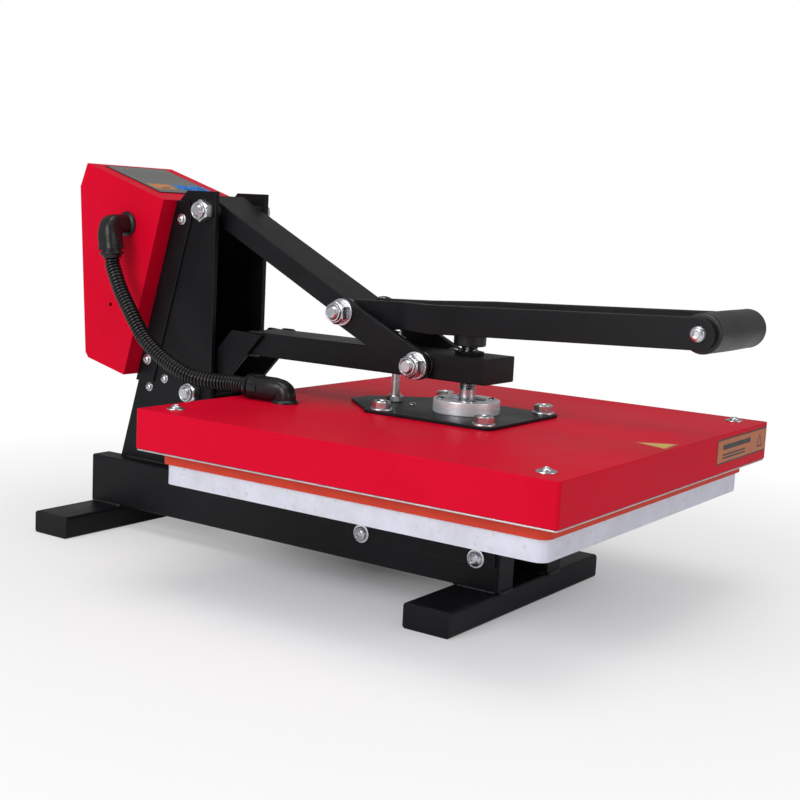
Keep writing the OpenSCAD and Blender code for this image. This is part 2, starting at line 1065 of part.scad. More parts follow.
module toggle_pivot_nuts() {
    spacer_t = 1.8;
    color("#c8ccd1")
        for (at = [mid_pivot, arm_toggle]) {
            outward(-1, toggle_out + washer_t, at)
                lock_nut(pivot_r);
            for (side = [-1, 1]) {
                outward(side, toggle_out, at)
                    ring(washer_r, pivot_r, washer_t);
                outward(side, toggle_in - spacer_t, at)
                    ring(washer_r, pivot_r, spacer_t);
            }
        }
}

// Sets the whole press with the middle of its outline over the origin
module placed() {
    translate([0, platen_y, 0])
        children();
}

placed() front_foot();
placed() rear_foot();
placed() left_rail();
placed() right_rail();
placed() tube_end_caps();
placed() tower_left_plate();
placed() tower_right_plate();
placed() tower_web();
placed() tower_pivot_bolts();
placed() tower_pivot_nuts();
placed() platen_support();
placed() support_bolts();
placed() lower_platen();
placed() silicone_pad();
placed() control_bracket();
placed() bracket_screws();
placed() control_box();
placed() control_box_sides();
placed() control_panel();
placed() display_window();
placed() power_inlet();
placed() circuit_board();
placed() solid_state_relay();
placed() box_elbow();
placed() conduit();
placed() arm_tube();
placed() arm_legs();
placed() arm_pivot_bush();
placed() arm_toggle_bush();
placed() pressure_nut();
placed() cover();
placed() heating_platen();
placed() insulation();
placed() heating_element();
placed() thermostat();
placed() mounting_plate();
placed() mounting_bolts();
placed() thrust_housing();
placed() thrust_screws();
placed() stabiliser_rod();
placed() stabiliser_nuts();
placed() cover_screws();
placed() cover_elbow();
placed() pressure_screw();
placed() pressure_knob();
placed() upper_link();
placed() link_bushes();
placed() handle_left_bar();
placed() handle_right_bar();
placed() handle_grip();
placed() grip_screws();
placed() toggle_bars();
placed() toggle_pivot_bolts();
placed() toggle_pivot_nuts();
placed() mode_key();
placed() down_key();
placed() up_key();
placed() switch_bezel();
placed() power_switch();
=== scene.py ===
"""Looks of a clamshell heat press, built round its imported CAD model.

Lengths are millimetres, and places count from the floor under the middle of the plates."""

import json
import math

import bmesh
import bpy
import numpy as np
from mathutils import Matrix, Vector


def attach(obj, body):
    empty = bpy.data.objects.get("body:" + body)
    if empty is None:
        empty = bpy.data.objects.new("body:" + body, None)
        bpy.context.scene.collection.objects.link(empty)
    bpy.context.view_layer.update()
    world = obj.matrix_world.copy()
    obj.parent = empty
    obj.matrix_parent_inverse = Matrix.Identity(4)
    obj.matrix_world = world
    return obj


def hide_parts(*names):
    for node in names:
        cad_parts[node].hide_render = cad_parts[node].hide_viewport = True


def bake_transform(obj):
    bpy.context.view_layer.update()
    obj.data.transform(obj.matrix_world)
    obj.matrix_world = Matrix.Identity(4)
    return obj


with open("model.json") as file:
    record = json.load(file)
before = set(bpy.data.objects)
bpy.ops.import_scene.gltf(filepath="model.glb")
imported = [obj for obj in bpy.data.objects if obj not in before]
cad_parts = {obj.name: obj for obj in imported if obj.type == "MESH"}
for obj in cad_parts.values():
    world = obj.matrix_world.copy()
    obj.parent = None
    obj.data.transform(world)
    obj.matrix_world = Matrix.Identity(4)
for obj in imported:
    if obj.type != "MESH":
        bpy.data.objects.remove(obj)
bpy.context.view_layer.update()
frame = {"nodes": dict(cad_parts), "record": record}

MM = 0.001
PLATES = np.array([0.0, -95.0, 0.0])      # middle of the plates in the row frame
LEFT, REAR, UP = np.array([-1.0, 0, 0]), np.array([0, 1.0, 0]), np.array([0, 0, 1.0])
RIGHT = -LEFT
SIDES = (-1, 1)

# faces of the CAD parts that fasteners, labels and welds sit on
COVER_TOP, PLATE_TOP, PLATE_WASHER = 160, 163, 1.8
FOOT_TOP, RAIL_TOP, SUPPORT_TOP = 22, 71, 95
RAIL_IN, RAIL_OUT, SUPPORT_FACE = 31, 55, 58
TOWER_FACE, TOGGLE_FACE = 39, 34
FEET = ((-76, -30), (376, 422))           # front and rear edge of each foot


# ---------------------------------------------------------------- node groups

def group(name, inputs, outputs):
    """Empty shader group with named float or colour sockets, and its two end nodes."""
    tree = bpy.data.node_groups.new(name, "ShaderNodeTree")
    for label, kind, value in inputs:
        tree.interface.new_socket(name=label, in_out="INPUT", socket_type=kind).default_value = value
    for label, kind in outputs:
        tree.interface.new_socket(name=label, in_out="OUTPUT", socket_type=kind)
    return tree, tree.nodes.new("NodeGroupInput"), tree.nodes.new("NodeGroupOutput")


def add(tree, kind, sockets=None, **settings):
    """New node with its settings and the values or links of its sockets."""
    node = tree.nodes.new(kind)
    for key, value in settings.items():
        setattr(node, key, value)
    for key, value in (sockets or {}).items():
        if isinstance(value, bpy.types.NodeSocket):
            tree.links.new(value, node.inputs[key])
        else:
            node.inputs[key].default_value = value
    return node


def noise(tree, vector, scale, detail, rough=0.55):
    """Noise value at a place."""
    return add(tree, "ShaderNodeTexNoise",
               {"Vector": vector, "Scale": scale, "Detail": detail, "Roughness": rough}).outputs["Fac"]


def maths(tree, operation, a, b, clamp=False):
    """Result of one operation on two values."""
    return add(tree, "ShaderNodeMath", {0: a, 1: b}, operation=operation, use_clamp=clamp).outputs[0]


def spread(tree, value, low, high, to_low=0.0, to_high=1.0):
    """Value stretched from one range to another, and held at its ends."""
    return add(tree, "ShaderNodeMapRange",
               {"Value": value, "From Min": low, "From Max": high, "To Min": to_low, "To Max": to_high}
               ).outputs["Result"]


def make_grain():
    """Fine grain for bumps, and broad uneven patches for colour and gloss."""
    tree, start, end = group("Paint and casting grain",
                             [("Grain", "NodeSocketFloat", 900.0), ("Patches", "NodeSocketFloat", 25.0)],
                             [(label, "NodeSocketFloat") for label in ("Height", "Patch", "Speck")])
    spot = add(tree, "ShaderNodeTexCoord").outputs["Object"]
    fine = noise(tree, spot, start.outputs["Grain"], 2.0)
    broad = noise(tree, spot, start.outputs["Patches"], 5.0, 0.6)
    speck = noise(tree, spot, maths(tree, "MULTIPLY", start.outputs["Grain"], 0.35), 1.0)
    height = maths(tree, "ADD", fine, maths(tree, "MULTIPLY", speck, 0.6))
    tree.links.new(height, end.inputs["Height"])
    tree.links.new(spread(tree, broad, 0.35, 0.65), end.inputs["Patch"])
    tree.links.new(spread(tree, speck, 0.62, 0.72), end.inputs["Speck"])
    return tree


def make_edge_highlight():
    """Mask for a painted highlight along hard edges, broken up by noise: where a rounded normal leaves the
    flat one.
    """
    tree, start, end = group("Painted edge highlight",
                             [("Reach", "NodeSocketFloat", 0.0012), ("Amount", "NodeSocketFloat", 1.0)],
                             [("Mask", "NodeSocketFloat")])
    spot = add(tree, "ShaderNodeTexCoord").outputs["Object"]
    rounded = add(tree, "ShaderNodeBevel", {"Radius": start.outputs["Reach"]}, samples=4).outputs["Normal"]
    flat = add(tree, "ShaderNodeNewGeometry").outputs["Normal"]
    turn = add(tree, "ShaderNodeVectorMath", {0: rounded, 1: flat}, operation="DOT_PRODUCT").outputs["Value"]
    edge = spread(tree, turn, 0.995, 0.86)
    patchy = spread(tree, noise(tree, spot, 140.0, 4.0), 0.36, 0.62, 0.25, 1.0)
    mask = maths(tree, "MULTIPLY", maths(tree, "MULTIPLY", edge, patchy), start.outputs["Amount"], True)
    tree.links.new(mask, end.inputs["Mask"])
    return tree


def make_brushing():
    """Fine streaks along one direction, as turning and plating leave on steel."""
    tree, start, end = group("Tool marks",
                             [("Stretch", "NodeSocketVector", (1.0, 1.0, 14.0))],
                             [("Height", "NodeSocketFloat"), ("Patch", "NodeSocketFloat")])
    spot = add(tree, "ShaderNodeTexCoord").outputs["Object"]
    long = add(tree, "ShaderNodeVectorMath", {0: spot, 1: start.outputs["Stretch"]},
               operation="MULTIPLY").outputs["Vector"]
    tree.links.new(noise(tree, long, 260.0, 2.0), end.inputs["Height"])
    tree.links.new(spread(tree, noise(tree, spot, 90.0, 3.0), 0.3, 0.7), end.inputs["Patch"])
    return tree


GRAIN, EDGES, BRUSHING = make_grain(), make_edge_highlight(), make_brushing()


# ---------------------------------------------------------------- materials

COLOUR_A, COLOUR_B, COLOUR_OUT = 6, 7, 2      # colour sockets of a Mix node, by number


def mixed(tree, mask, low, high):
    """Colour between two, by a mask."""
    low, high = (c if isinstance(c, bpy.types.NodeSocket) else (*c, 1.0) for c in (low, high))
    return add(tree, "ShaderNodeMix", {"Factor": mask, COLOUR_A: low, COLOUR_B: high},
               data_type="RGBA").outputs[COLOUR_OUT]


def use(tree, shared, **values):
    """Shared group in a material, with its inputs set. Returns its outputs."""
    node = tree.nodes.new("ShaderNodeGroup")
    node.node_tree = shared
    for key, value in values.items():
        node.inputs[key].default_value = value
    return node.outputs


def finish_of(name, colours, rough, depth, metal=0.0, grain=900.0, patches=25.0, edge=None,
              edge_reach=0.0012, speck=None, brushed=None, **constants):
    """Material from the shared groups: patchy colour and gloss, fine bumps, and edges lightened as a painted
    highlight.

    colours and rough are the two ends of the patches, depth is the strength of the bumps, and edge is the
    colour and the share of the painted edge highlight. constants go straight to the shader."""
    made = bpy.data.materials.new(name)
    made.use_nodes = True
    tree = made.node_tree
    shader = tree.nodes["Principled BSDF"]
    base = use(tree, BRUSHING, Stretch=brushed) if brushed else use(tree, GRAIN, Grain=grain, Patches=patches)
    colour = mixed(tree, base["Patch"], *colours)
    if speck:
        colour = mixed(tree, base["Speck"], colour, speck)
    gloss = spread(tree, base["Patch"], 0.0, 1.0, *rough)
    # painted highlight: hard edges are lightened towards the edge colour, as if light caught them
    if edge:
        mask = use(tree, EDGES, Reach=edge_reach, Amount=edge[1])["Mask"]
        colour = mixed(tree, mask, colour, edge[0])
    tree.links.new(colour, shader.inputs["Base Color"])
    tree.links.new(gloss, shader.inputs["Roughness"])
    bump = add(tree, "ShaderNodeBump", {"Height": base["Height"], "Strength": depth, "Distance": 0.0006})
    tree.links.new(bump.outputs["Normal"], shader.inputs["Normal"])
    shader.inputs["Metallic"].default_value = metal
    for key, value in constants.items():
        shader.inputs[key.replace("_", " ")].default_value = value
    return made


# The edge colours of the red and black paint are lighter than their base: a painted highlight along hard
# edges.
PAINT_RED = finish_of("red powder coat", ((0.59, 0.001, 0.018), (0.65, 0.002, 0.025)), (0.38, 0.48),
                      grain=620.0, patches=9.0, depth=0.14, edge=((0.74, 0.02, 0.045), 0.35),
                      Specular_IOR_Level=0.05)
PAINT_BLACK = finish_of("black powder coat", ((0.004, 0.0042, 0.0055), (0.007, 0.0073, 0.009)), (0.36, 0.48),
                        grain=1300.0, patches=14.0, depth=0.16, edge=((0.05, 0.05, 0.056), 0.5),
                        edge_reach=0.0016, Specular_IOR_Level=0.18)
ZINC = finish_of("bright zinc", ((0.58, 0.59, 0.62), (0.72, 0.72, 0.73)), (0.24, 0.36), metal=1.0,
                 brushed=(1.0, 1.0, 1.0), depth=0.03)
ZINC_YELLOW = finish_of("yellow zinc", ((0.62, 0.52, 0.30), (0.70, 0.64, 0.46)), (0.2, 0.34), metal=1.0,
                        brushed=(1.0, 1.0, 1.0), depth=0.03)
TURNED = finish_of("turned aluminium", ((0.80, 0.82, 0.86), (0.90, 0.91, 0.94)), (0.28, 0.38), metal=0.6,
                   brushed=(1.0, 1.0, 14.0), depth=0.06)
STEEL = finish_of("turned steel", ((0.50, 0.51, 0.53), (0.60, 0.60, 0.62)), (0.20, 0.32), metal=1.0,
                  brushed=(1.0, 1.0, 6.0), depth=0.05)
# The edge colour of the casting is lighter than its base: a painted highlight along hard edges.
CASTING = finish_of("sand cast aluminium", ((0.60, 0.61, 0.69), (0.68, 0.70, 0.80)), (0.50, 0.62), metal=0.15,
                    grain=560.0, patches=40.0, depth=0.28, edge=((0.78, 0.79, 0.86), 0.4),
                    speck=(0.58, 0.58, 0.64))
MACHINED = finish_of("machined aluminium", ((0.55, 0.55, 0.57), (0.66, 0.66, 0.68)), (0.30, 0.42), metal=0.9,
                     brushed=(1.0, 14.0, 1.0), depth=0.06)
SILICONE = finish_of("orange silicone", ((0.56, 0.042, 0.020), (0.62, 0.052, 0.026)), (0.55, 0.68),
                     grain=1500.0, patches=30.0, depth=0.12, Specular_IOR_Level=0.2)
HOSE = finish_of("black hose nylon", ((0.005, 0.005, 0.006), (0.009, 0.009, 0.010)), (0.20, 0.30),
                 grain=900.0, patches=60.0, depth=0.04, Specular_IOR_Level=0.4)
PLASTIC = finish_of("black moulded nylon", ((0.005, 0.005, 0.006), (0.009, 0.009, 0.010)), (0.26, 0.38),
                    grain=1600.0, patches=50.0, depth=0.10, Specular_IOR_Level=0.4)
GRIP = finish_of("black grip sleeve", ((0.008, 0.008, 0.008), (0.014, 0.013, 0.013)), (0.34, 0.46),
                 grain=1100.0, patches=30.0, depth=0.12, Specular_IOR_Level=0.4)
FILM = finish_of("grey membrane film", ((0.115, 0.120, 0.112), (0.140, 0.145, 0.135)), (0.34, 0.44),
                 grain=2200.0, patches=20.0, depth=0.05)
FILM_DARK = finish_of("smoked window film", ((0.080, 0.082, 0.078), (0.095, 0.098, 0.092)), (0.22, 0.3),
                      grain=2000.0, patches=20.0, depth=0.01)
FILM_ORANGE = finish_of("orange key film", ((0.42, 0.17, 0.05), (0.50, 0.21, 0.07)), (0.34, 0.44),
                        grain=2200.0, patches=40.0, depth=0.05)
FILM_BLUE = finish_of("blue key film", ((0.010, 0.15, 0.50), (0.014, 0.20, 0.62)), (0.34, 0.44),
                      grain=2200.0, patches=40.0, depth=0.05)
INK = finish_of("dark ink", ((0.010, 0.012, 0.016), (0.016, 0.018, 0.024)), (0.4, 0.5),
                grain=2000.0, patches=40.0, depth=0.02)
LABEL = finish_of("orange label film", ((0.40, 0.085, 0.010), (0.50, 0.14, 0.016)), (0.3, 0.42),
                  grain=1800.0, patches=60.0, depth=0.03)
LABEL_YELLOW = finish_of("yellow label film", ((0.66, 0.42, 0.06), (0.74, 0.50, 0.09)), (0.3, 0.42),
                         grain=1800.0, patches=60.0, depth=0.03)
SWITCH_RED = finish_of("red rocker", ((0.50, 0.012, 0.018), (0.58, 0.016, 0.024)), (0.2, 0.3),
                       grain=1500.0, patches=40.0, depth=0.03)
BOARD = finish_of("green board", ((0.015, 0.10, 0.04), (0.02, 0.13, 0.05)), (0.3, 0.4),
                  grain=900.0, patches=40.0, depth=0.05)
WOOL = finish_of("mineral wool", ((0.62, 0.58, 0.42), (0.74, 0.70, 0.54)), (0.85, 0.95),
                 grain=700.0, patches=80.0, depth=0.9)
CERAMIC = finish_of("ceramic", ((0.68, 0.63, 0.52), (0.74, 0.70, 0.60)), (0.4, 0.5),
                    grain=900.0, patches=40.0, depth=0.05)
WELD = finish_of("painted weld", ((0.006, 0.006, 0.0075), (0.010, 0.010, 0.012)), (0.32, 0.44),
                 grain=500.0, patches=80.0, depth=0.3, Specular_IOR_Level=0.3)


# ---------------------------------------------------------------- surfaces

def spokes(axis):
    """Two unit vectors square to an axis and to each other."""
    axis = np.asarray(axis, float)
    first = np.cross(axis, UP if abs(axis[2]) < 0.9 else LEFT)
    first /= np.linalg.norm(first)
    return first, np.cross(axis, first)


def hexagon(spin, flat):
    """Distance from a hexagon's middle to its side in each direction, flat being half its width."""
    return flat / np.cos((spin + np.pi / 6) % (np.pi / 3) - np.pi / 6)


def turned(profile, foot, axis, sides=48, flat=None, thread=None):
    """Profile of (radius, height) rows turned round an axis through foot.

    A row with a third value is cut to a hexagon of half width flat. thread is (from, to, pitch, depth):
    between those heights the radius falls by depth in a ramp that climbs one pitch a turn."""
    axis = np.asarray(axis, float)
    radius = np.array([row[0] for row in profile], float)[:, None]
    height = np.array([row[1] for row in profile], float)[:, None]
    spin = np.linspace(0, 2 * np.pi, sides, endpoint=False)[None, :]
    radius = radius + 0 * spin
    if flat:
        cut = np.array([len(row) > 2 for row in profile])[:, None]
        radius = np.where(cut, np.minimum(radius, hexagon(spin, flat)), radius)
    if thread:
        low, high, pitch, depth = thread
        wave = np.abs(((height / pitch - spin / (2 * np.pi)) % 1.0) * 2 - 1)
        inside = (height >= low) & (height <= high)
        radius = np.where(inside, radius - depth * wave, radius)
    first, second = spokes(axis)
    ring = np.cos(spin)[..., None] * first + np.sin(spin)[..., None] * second
    return np.asarray(foot, float) + height[..., None] * axis + radius[..., None] * ring


def swept(path, radius, sides, across=LEFT, square=2.0):
    """Section carried along a path: each ring lies square to the path, one spoke square to across.

    The ring is a superellipse, |cos|^square + |sin|^square to the power -1/square, so 2 gives a circle."""
    path = np.asarray(path, float)
    ahead = np.gradient(path, axis=0)
    ahead /= np.linalg.norm(ahead, axis=1)[:, None]
    side = np.cross(ahead, across)
    side /= np.linalg.norm(side, axis=1)[:, None]
    up = np.cross(ahead, side)
    spin = np.linspace(0, 2 * np.pi, sides, endpoint=False)
    shape = (np.abs(np.cos(spin)) ** square + np.abs(np.sin(spin)) ** square) ** (-1 / square)
    along_side, along_up = (shape * turn for turn in (np.cos(spin), np.sin(spin)))
    ring = along_side[None, :, None] * side[:, None] + along_up[None, :, None] * up[:, None]
    radius = np.broadcast_to(np.asarray(radius, float), (len(path),))
    return capped(path[:, None] + radius[:, None, None] * ring)


def capped(rows):
    """The same grid with a point at the middle of its first and last ring, which closes both ends."""
    ends = [np.broadcast_to(rows[i].mean(0), rows[i].shape)[None] for i in (0, -1)]
    return np.concatenate([ends[0], rows, ends[1]])


def outline(width, height, corner):
    """Points round a rectangle with round corners, centred: each corner point plus a quarter circle."""
    steps = 6
    quarter = np.linspace(0, np.pi / 2, steps)
    turns = np.concatenate([quarter + k * np.pi / 2 for k in range(4)])
    signs = np.repeat(np.array([[1, 1], [-1, 1], [-1, -1], [1, -1]], float), steps, axis=0)
    middles = signs * (np.array([width, height]) / 2 - corner)
    return middles + corner * np.stack([np.cos(turns), np.sin(turns)], 1)


def slab(flat, thick, origin, across, up, soft):
    """Closed plate over a convex outline, its top edge rounded by soft.

    Its rings are the outline drawn in towards its middle by a share of its size."""
    flat = np.asarray(flat, float)
    across, up = np.asarray(across, float), np.asarray(up, float)
    out = np.cross(across, up)
    middle = flat.mean(0)
    size = np.abs(flat - middle).max()
    rings = [(0.0, thick), (1 - soft / size, thick), (1 - 0.3 * soft / size, thick - 0.3 * soft),
             (1.0, thick - soft), (1.0, 0.0), (0.0, 0.0)]
    rows = []
    for scale, lift in rings:
        spot = middle + scale * (flat - middle)
        rows.append(np.asarray(origin) + spot[:, :1] * across + spot[:, 1:] * up + lift * out)
    return np.array(rows)


def smooth_path(points, step):
    """Curve through the points (Catmull-Rom), resampled at even steps along its length."""
    p = np.asarray(points, float)
    ends = np.vstack([2 * p[0] - p[1], p, 2 * p[-1] - p[-2]])
    t = np.linspace(0, 1, 24, endpoint=False)[:, None, None]
    a, b, c, d = ends[:-3], ends[1:-2], ends[2:-1], ends[3:]
    square, cube = 2 * a - 5 * b + 4 * c - d, 3 * b - a - 3 * c + d
    fine = 0.5 * (2 * b + (c - a) * t + square * t ** 2 + cube * t ** 3)
    fine = np.vstack([fine.transpose(1, 0, 2).reshape(-1, 3), p[-1:]])
    far = np.concatenate([[0], np.cumsum(np.linalg.norm(np.diff(fine, axis=0), axis=1))])
    even = np.linspace(0, far[-1], int(far[-1] / step) + 1)
    return np.stack([np.interp(even, far, fine[:, k]) for k in range(3)], 1), even


MERGE = 2e-6                              # metres between points that become one
FLAT_ANGLE, HARD_ANGLE = math.radians(0.6), math.radians(35)


def build(name, grids, material, body, replaces=(), smooth=40, loops=()):
    """Object from grids of points, neighbours joined by quads and the last column to the first.

    Grids listed in loops also join their last row to their first."""
    verts, faces, start = [], [], 0
    for k, grid in enumerate(grids):
        rows, columns = grid.shape[:2]
        index = np.arange(rows * columns).reshape(rows, columns) + start
        below = index if k in loops else index[:-1]
        above = np.roll(index, -1, axis=0) if k in loops else index[1:]
        quads = np.stack([below, np.roll(below, -1, 1), np.roll(above, -1, 1), above], -1)
        faces.append(quads.reshape(-1, 4))
        verts.append(grid.reshape(-1, 3))
        start += rows * columns
    mesh = bpy.data.meshes.new(name)
    mesh.from_pydata(((np.concatenate(verts) + PLATES) * MM).tolist(), [], np.concatenate(faces).tolist())
    return settle(name, mesh, material, body, replaces, smooth)


def settle(name, mesh, material, body, replaces, smooth, bevel=0.0):
    """Object of a mesh: its points merged, its faces outwards and its hard edges rounded if asked.

    It rides on a body if one is named."""
    work = bmesh.new()
    work.from_mesh(mesh)
    bmesh.ops.remove_doubles(work, verts=work.verts, dist=MERGE)
    if bevel:
        bmesh.ops.dissolve_limit(work, angle_limit=FLAT_ANGLE, verts=work.verts, edges=work.edges)
        hard = [e for e in work.edges if len(e.link_faces) == 2 and e.calc_face_angle(0) > HARD_ANGLE]
        bmesh.ops.bevel(work, geom=hard, offset=bevel * MM, offset_type="OFFSET", segments=2,
                        profile=0.5, affect="EDGES", clamp_overlap=True)
    else:
        bmesh.ops.recalc_face_normals(work, faces=work.faces)
    work.to_mesh(mesh)
    work.free()
    mesh.polygons.foreach_set("use_smooth", np.ones(len(mesh.polygons), bool))
    mesh.set_sharp_from_angle(angle=math.radians(smooth))
    mesh.materials.clear()
    mesh.materials.append(material)
    piece = bpy.data.objects.new(name, mesh)
    bpy.context.scene.collection.objects.link(piece)
    even = piece.modifiers.new("even shading", "WEIGHTED_NORMAL")
    even.keep_sharp = True
    if replaces:
        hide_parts(*replaces)
    if body:
        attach(piece, body)
    return piece


BODY_OF = {node: body for body, nodes in frame["record"]["behaviour"]["bodies"].items() for node in nodes}


def dress(node, material, bevel):
    """Copy of a CAD node with its hard edges rounded, shown in its place."""
    settle("soft_edged_" + node, frame["nodes"][node].data.copy(), material, BODY_OF[node], [node], 50, bevel)


def paint(node, material):
    """Gives a CAD node that keeps its own shape its material."""
    slots = frame["nodes"][node].data.materials
    slots.clear()
    slots.append(material)


# ---------------------------------------------------------------- painted frame

for node, bevel in {
    "front_foot": 0.4, "rear_foot": 0.4, "left_rail": 0.4, "right_rail": 0.4, "tube_end_caps": 0.8,
    "tower_left_plate": 0.8, "tower_right_plate": 0.8, "tower_web": 0.5, "platen_support": 0.8,
    "control_bracket": 0.5, "arm_tube": 0.9, "arm_legs": 0.8, "mounting_plate": 0.6,
    "upper_link": 0.8, "handle_left_bar": 1.0, "handle_right_bar": 1.0, "toggle_bars": 1.0,
}.items():
    dress(node, PAINT_BLACK, bevel)

dress("lower_platen", CASTING, 1.2)
dress("silicone_pad", SILICONE, 0.8)
dress("cover", PAINT_RED, 0.7)
dress("control_box", PAINT_RED, 0.4)
dress("control_box_sides", PAINT_RED, 0.5)
dress("heating_platen", MACHINED, 0.6)
dress("power_inlet", PLASTIC, 0.4)
dress("switch_bezel", PLASTIC, 0.5)
dress("power_switch", SWITCH_RED, 0.6)
dress("solid_state_relay", PLASTIC, 0.8)
for node, material in {
    "insulation": WOOL, "heating_element": STEEL, "thermostat": CERAMIC, "circuit_board": BOARD,
    "arm_pivot_bush": PAINT_BLACK, "arm_toggle_bush": STEEL, "link_bushes": STEEL,
    "pressure_nut": PAINT_BLACK,
}.items():
    paint(node, material)


# ---------------------------------------------------------------- fasteners

def nut_profile(hole, flat, high, collar, collar_high):
    """Rows of a lock nut: hexagon with both ends chamfered, then a plain round collar rolled inwards."""
    tip, end = flat / math.cos(math.pi / 6), high + collar_high
    return [(hole, 0), (flat * 0.97, 0, 1), (tip, 0.9, 1), (tip + 1, 1.0, 1), (tip + 1, high - 1.2, 1),
            (tip, high - 1.1, 1), (flat * 0.96, high - 0.1, 1), (collar, high),
            (collar, high + collar_high * 0.6), (collar - 0.5, end - 0.1), (collar - 1.4, end),
            (hole + 0.3, end - 0.5), (hole, end - 0.9)]


def washer_profile(hole, radius, thick):
    """Rows of a stamped washer: one edge rounded, the other keen."""
    return [(hole, 0), (radius - 0.2, 0), (radius, 0.25), (radius, thick - 0.6), (radius - 0.2, thick - 0.2),
            (radius - 0.7, thick), (hole, thick)]


def head_profile(flat, high, dish=0.5):
    """Rows of a hexagon bolt head with a chamfered, slightly dished top."""
    tip = flat / math.cos(math.pi / 6)
    return [(0, 0), (flat * 0.98, 0), (tip + 1, 0.3, 1), (tip + 1, high - 1.5, 1), (tip, high - 1.3, 1),
            (flat * 0.97, high - 0.1, 1), (flat * 0.9, high, 1), (flat * 0.62, high),
            (flat * 0.55, high - dish), (0, high - dish)]


def button_profile(radius, high, socket, depth):
    """Rows of a button head from its socket's floor, over the dome, to its flat underside.

    The dome is a quarter of an ellipse over a rim a quarter of the head's height."""
    wide = 9                              # outside any socket, so that the hexagon cuts the whole row
    dome = [(radius * math.sin(turn), high * (0.25 + 0.75 * math.cos(turn)))
            for turn in np.linspace(0.25, 1, 7) * math.pi / 2]
    well = [(0, high - depth), (wide, high - depth, 1), (wide, high - 0.25, 1), (socket * 1.18, high * 0.995)]
    return well + [row for row in dome if row[0] > socket * 1.2] + [(radius, 0.15), (radius - 0.2, 0), (0, 0)]


def bolt_rows(low, high, radius, pitch, thread_from):
    """Rows of a shank along its length, close together where its thread is cut, with a chamfered tip."""
    plain = [(0, low), (radius, low)] if thread_from > low else [(0, low)]
    cut = np.arange(thread_from, high - 1.2, pitch / 6)
    return plain + [(radius, h) for h in cut] + [(radius - 0.3, high - 1.0), (radius - 1.2, high), (0, high)]


def side_spot(side, x, at):
    """Place at x on one side of the middle, at (y, z)."""
    return np.array([side * x, at[0], at[1]])


TOWER_PIVOTS = [(286, 329), (296, 149)]
MID_PIVOT, ARM_TOGGLE = (118, 244), (34, 203.5)
M12_R, M12_HOLE, M12_PITCH, M12_CUT = 6, 5.9, 1.75, 0.7
M12_FLAT, M12_HIGH, M12_COLLAR, M12_CAP = 9.5, 9.5, 8.4, 2.8
M12_THREAD = 7                            # length of thread that shows past the nut
WASHER_R, SPACER_T = 12.5, 1.8
STUD_IN = 25.4                            # inner end of a stud in the link's side


def pivot_hardware(name, spots, face, body, nuts_node, bolts_node, washer=0.0, spacer=0.0, split=()):
    """Bolts with a hexagon head on the right and a lock nut on the left.

    washer is the thickness of an outer washer and spacer is how far out an inner one starts, if there is
    one. A bolt in split is two short studs."""
    rings, bolts = [], []
    seat = face + washer
    tip = seat + M12_HIGH + M12_CAP + 2
    thread = (tip - M12_THREAD, tip - 1.2, M12_PITCH, M12_CUT)
    discs = [(x, washer_profile(M12_HOLE, WASHER_R, thick))
             for x, thick in ((face, washer), (spacer, SPACER_T)) if x and thick]
    nut = nut_profile(M12_HOLE, M12_FLAT, M12_HIGH, M12_COLLAR, M12_CAP)
    for at in spots:
        for side in SIDES:
            rings += [turned(profile, side_spot(side, x, at), side * RIGHT) for x, profile in discs]
        rings.append(turned(nut, side_spot(-1, seat, at), LEFT, 60, M12_FLAT))
        start = STUD_IN if at in split else -seat
        bolts.append(turned(bolt_rows(start, tip, M12_R, M12_PITCH, tip - M12_THREAD),
                            side_spot(-1, 0, at), LEFT, 36, thread=thread))
        if at in split:
            bolts.append(turned([(0, STUD_IN), (M12_R, STUD_IN), (M12_R, seat), (0, seat)],
                                side_spot(1, 0, at), RIGHT, 36))
        bolts.append(turned(head_profile(M12_FLAT, 7.5), side_spot(1, seat, at), RIGHT, 60, M12_FLAT))
    build(name + "_nuts", rings, ZINC, body, [nuts_node], 30, range(len(rings)))
    build(name + "_bolts", bolts, ZINC, body, [bolts_node], 30)


pivot_hardware("tower_pivot", TOWER_PIVOTS, TOWER_FACE, "base", "tower_pivot_nuts", "tower_pivot_bolts")
pivot_hardware("toggle_pivot", [MID_PIVOT, ARM_TOGGLE], TOGGLE_FACE, "toggles", "toggle_pivot_nuts",
               "toggle_pivot_bolts", 2.5, 25.7, (MID_PIVOT,))


def button_screws(spots, radius, high, washer_r, washer_t, shank=0.0):
    """Button heads on washers, with a shank if one is asked for. Spots are (foot, direction) pairs."""
    grids = []
    for foot, axis in spots:
        foot, axis = np.asarray(foot, float), np.asarray(axis, float)
        socket = radius * 0.45
        grids.append(turned([(0, 0)] + washer_profile(0, washer_r, washer_t)[1:], foot, axis, 36))
        grids.append(turned(button_profile(radius, high, socket, high * 0.6), foot + washer_t * axis, axis,
                            48, socket))
        if shank:
            grids.append(turned([(0, -shank), (4, -shank), (4, 0.2), (0, 0.2)], foot, axis, 24))
    return grids


